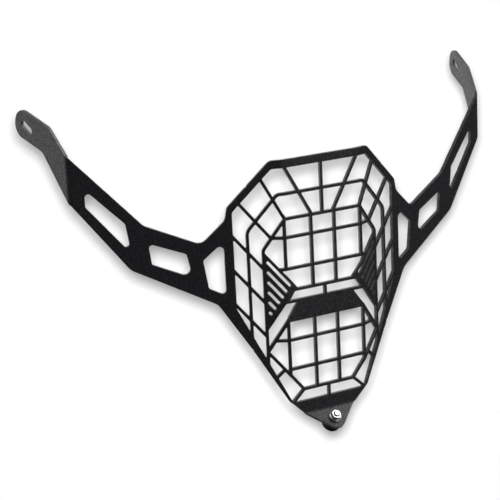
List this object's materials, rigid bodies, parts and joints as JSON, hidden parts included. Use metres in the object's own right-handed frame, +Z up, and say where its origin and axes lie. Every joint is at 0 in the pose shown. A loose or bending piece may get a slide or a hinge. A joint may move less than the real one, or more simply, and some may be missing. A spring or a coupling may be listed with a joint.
{
  "type": "motorcycle headlight guard",
  "caption": "Folded sheet guard for a motorcycle headlight: a pierced grille with swept side arms, slotted at their ends, and a foot with a rubber buffer.",
  "frame": {"origin": "on the centre line, in the middle of the sheet's thickness, level with the middle of the upper lamp window, where the mount lamp_centre stands", "axes": "+X to the right for someone facing the guard's front, -Y out of the front panel, away from the headlamp, and +Z up along the front panel"},
  "size_m": [0.469, 0.146, 0.3144],
  "materials": {
    "black_powder_coat": "fine textured black powder coat",
    "black_rubber": "matt moulded rubber",
    "plated_steel": "bright zinc plate"
  },
  "bodies": {
    "root": {"guard_sheet": "black_powder_coat", "rubber_buffer": "black_rubber", "buffer_stud": "plated_steel", "flange_nut": "plated_steel"}
  },
  "joints": []
}
